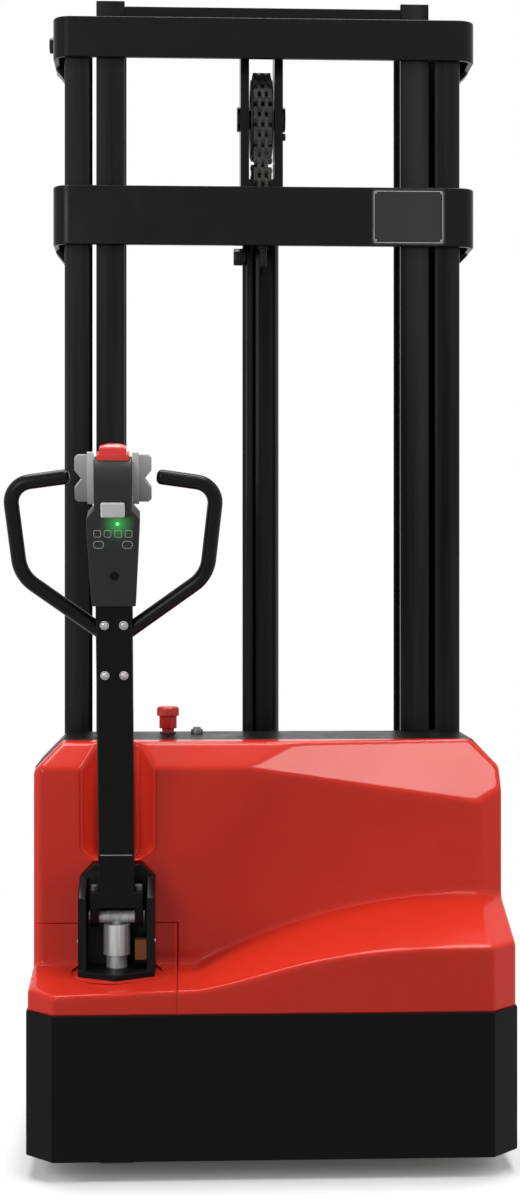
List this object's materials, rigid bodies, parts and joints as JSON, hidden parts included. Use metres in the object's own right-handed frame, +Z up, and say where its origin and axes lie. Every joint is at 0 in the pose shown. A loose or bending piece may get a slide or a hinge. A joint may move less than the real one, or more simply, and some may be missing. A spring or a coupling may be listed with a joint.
{
  "type": "electric pallet stacker",
  "caption": "Electric pedestrian pallet stacker with a telescopic chain-lift mast, forks over straddle legs, a moulded red cover and an offset steering tiller with a looped handle.",
  "frame": {"origin": "on the floor under the middle of the whole part's box", "axes": "+Z up, +Y from the operator's end towards the fork tips, +X to the operator's right"},
  "size_m": [0.848, 1.885, 2.065],
  "materials": {
    "red_paint": "gloss red paint",
    "mast_black": "gloss black paint",
    "body_black": "satin black paint",
    "frame_black": "satin black paint",
    "arm_black": "satin black paint",
    "grip_black": "black dipped grip",
    "head_plastic": "fine-grained dark grey",
    "knob_plastic": "satin grey",
    "switch_red": "glossy red",
    "button_grey": "satin grey",
    "switch_brown": "brown moulded",
    "bezel_plastic": "black",
    "pin_steel": "turned",
    "rod_chrome": "hard chrome",
    "chain_steel": "oiled steel",
    "sheave_iron": "machined",
    "roller_steel": "ground",
    "yoke_iron": "cast",
    "hub_alloy": "machined",
    "tyre": "matt",
    "wheel_plastic": "moulded polyurethane",
    "battery_plastic": "moulded",
    "unit_paint": "grey paint",
    "controller_alloy": "anodised"
  },
  "bodies": {
    "chassis": {"base_frame": "frame_black", "chassis_plate": "frame_black", "left_leg": "frame_black", "right_leg": "frame_black", "load_wheel_axles": "pin_steel", "skirt": "body_black", "body_shell": "body_black", "hood": "red_paint", "access_panel": "red_paint", "outer_column_left": "mast_black", "outer_column_right": "mast_black", "top_beam": "mast_black", "second_beam": "mast_black", "lift_cylinder": "mast_black", "cylinder_clamp": "frame_black", "return_pipe": "mast_black", "chain_anchor": "pin_steel", "chain_rear_strand": "chain_steel", "battery": "battery_plastic", "power_unit": "unit_paint", "controller": "controller_alloy", "steering_bearing": "roller_steel", "switch_bezels": "bezel_plastic"},
    "inner_mast": {"inner_column_left": "mast_black", "inner_column_right": "mast_black", "inner_top_beam": "mast_black", "inner_bottom_beam": "mast_black", "sheave_frame": "mast_black", "sheave_axle": "pin_steel", "piston_rod": "rod_chrome", "chain_wrap": "chain_steel", "chain_front_strand": "chain_steel"},
    "mast_rollers_lower": {"mast_rollers_lower": "roller_steel"},
    "mast_rollers_upper": {"mast_rollers_upper": "roller_steel"},
    "chain_sheave": {"chain_sheave": "sheave_iron"},
    "carriage": {"carriage_frame": "mast_black", "left_fork": "frame_black", "right_fork": "frame_black"},
    "carriage_rollers_lower": {"carriage_rollers_lower": "roller_steel"},
    "carriage_rollers_upper": {"carriage_rollers_upper": "roller_steel"},
    "steering": {"drive_yoke": "yoke_iron", "steering_post": "pin_steel", "tiller_seat": "arm_black", "brake_switch": "switch_brown"},
    "drive_wheel": {"drive_hub": "hub_alloy", "drive_tyre": "tyre"},
    "tiller": {"tiller_arm": "arm_black", "tiller_yoke": "arm_black", "pivot_pin": "pin_steel", "handlebar": "grip_black", "head_housing": "head_plastic"},
    "throttle": {"throttle_knobs": "knob_plastic"},
    "belly_switch": {"belly_switch": "switch_red"},
    "horn_button": {"horn_button": "button_grey"},
    "caster": {"caster_fork": "frame_black"},
    "caster_wheel": {"caster_wheel": "wheel_plastic"},
    "left_load_wheel": {"left_load_wheel": "wheel_plastic"},
    "right_load_wheel": {"right_load_wheel": "wheel_plastic"},
    "estop_button": {"estop_button": "switch_red"},
    "key_knob": {"key_knob": "bezel_plastic"}
  },
  "joints": [
    {"name": "mast_lift", "type": "slide", "parent": "chassis", "child": "inner_mast", "axis": [0, 0, 1], "range_m": [0, 1.5], "deforming": ["chain_rear_strand"]},
    {"name": "carriage_lift", "type": "slide", "parent": "inner_mast", "child": "carriage", "axis": [0, 0, 1], "range_m": [0, 1.5], "deforming": ["chain_front_strand"]},
    {"name": "sheave_spin", "type": "hinge", "parent": "inner_mast", "child": "chain_sheave", "pos_m": [0.01398, -0.32506, 1.867], "axis": [1, 0, 0], "continuous": true},
    {"name": "mast_rollers_lower_spin", "type": "hinge", "parent": "inner_mast", "child": "mast_rollers_lower", "pos_m": [0.01398, -0.35658, 0.165], "axis": [1, 0, 0], "continuous": true},
    {"name": "mast_rollers_upper_spin", "type": "hinge", "parent": "inner_mast", "child": "mast_rollers_upper", "pos_m": [0.01398, -0.35658, 0.455], "axis": [1, 0, 0], "continuous": true},
    {"name": "carriage_rollers_lower_spin", "type": "hinge", "parent": "carriage", "child": "carriage_rollers_lower", "pos_m": [0.01398, -0.35658, 0.185], "axis": [1, 0, 0], "continuous": true},
    {"name": "carriage_rollers_upper_spin", "type": "hinge", "parent": "carriage", "child": "carriage_rollers_upper", "pos_m": [0.01398, -0.35658, 0.435], "axis": [1, 0, 0], "continuous": true},
    {"name": "tiller_steer", "type": "hinge", "parent": "chassis", "child": "steering", "pos_m": [-0.24802, -0.7236, 0.318], "axis": [0, 0, 1], "range_deg": [-70, 70]},
    {"name": "drive_wheel_spin", "type": "hinge", "parent": "steering", "child": "drive_wheel", "pos_m": [-0.24802, -0.7236, 0.105], "axis": [1, 0, 0], "continuous": true},
    {"name": "tiller_tilt", "type": "hinge", "parent": "steering", "child": "tiller", "pos_m": [-0.24802, -0.7236, 0.415], "axis": [1, 0, 0], "range_deg": [0, 70], "stiffness_Nm_per_rad": 20, "springref_deg": -57.3},
    {"name": "throttle_turn", "type": "hinge", "parent": "tiller", "child": "throttle", "pos_m": [-0.24802, -0.90746, 1.15243], "axis": [1, 0, 0], "range_deg": [-35, 35], "stiffness_Nm_per_rad": 0.6},
    {"name": "belly_press", "type": "slide", "parent": "tiller", "child": "belly_switch", "axis": [0, 0.2419, -0.9703], "range_m": [0, 0.008], "stiffness_N_per_m": 300, "springref_m": -0.01},
    {"name": "horn_press", "type": "slide", "parent": "tiller", "child": "horn_button", "axis": [0, 0.9703, 0.2419], "range_m": [0, 0.0025], "stiffness_N_per_m": 300, "springref_m": -0.005},
    {"name": "caster_swivel", "type": "hinge", "parent": "chassis", "child": "caster", "pos_m": [0.27598, -0.71858, 0.17], "axis": [0, 0, 1], "continuous": true},
    {"name": "caster_spin", "type": "hinge", "parent": "caster", "child": "caster_wheel", "pos_m": [0.27598, -0.67858, 0.075], "axis": [1, 0, 0], "continuous": true},
    {"name": "left_load_wheel_spin", "type": "hinge", "parent": "chassis", "child": "left_load_wheel", "pos_m": [-0.18602, 0.71146, 0.04], "axis": [1, 0, 0], "continuous": true},
    {"name": "right_load_wheel_spin", "type": "hinge", "parent": "chassis", "child": "right_load_wheel", "pos_m": [0.21398, 0.71146, 0.04], "axis": [1, 0, 0], "continuous": true},
    {"name": "estop_press", "type": "slide", "parent": "chassis", "child": "estop_button", "axis": [0, 0, -1], "range_m": [0, 0.006]},
    {"name": "key_turn", "type": "hinge", "parent": "chassis", "child": "key_knob", "pos_m": [-0.11002, -0.47458, 0.704], "axis": [0, 0, 1], "range_deg": [0, 90]}
  ],
  "couplings": [
    {"joint": "carriage_lift", "follows": "mast_lift", "ratio": 1},
    {"joint": "sheave_spin", "follows": "mast_lift", "rad_per_m": 12.655},
    {"joint": "mast_rollers_lower_spin", "follows": "mast_lift", "rad_per_m": 20.408},
    {"joint": "mast_rollers_upper_spin", "follows": "mast_lift", "rad_per_m": -20.408},
    {"joint": "carriage_rollers_lower_spin", "follows": "mast_lift", "rad_per_m": 20.408},
    {"joint": "carriage_rollers_upper_spin", "follows": "mast_lift", "rad_per_m": -20.408}
  ]
}
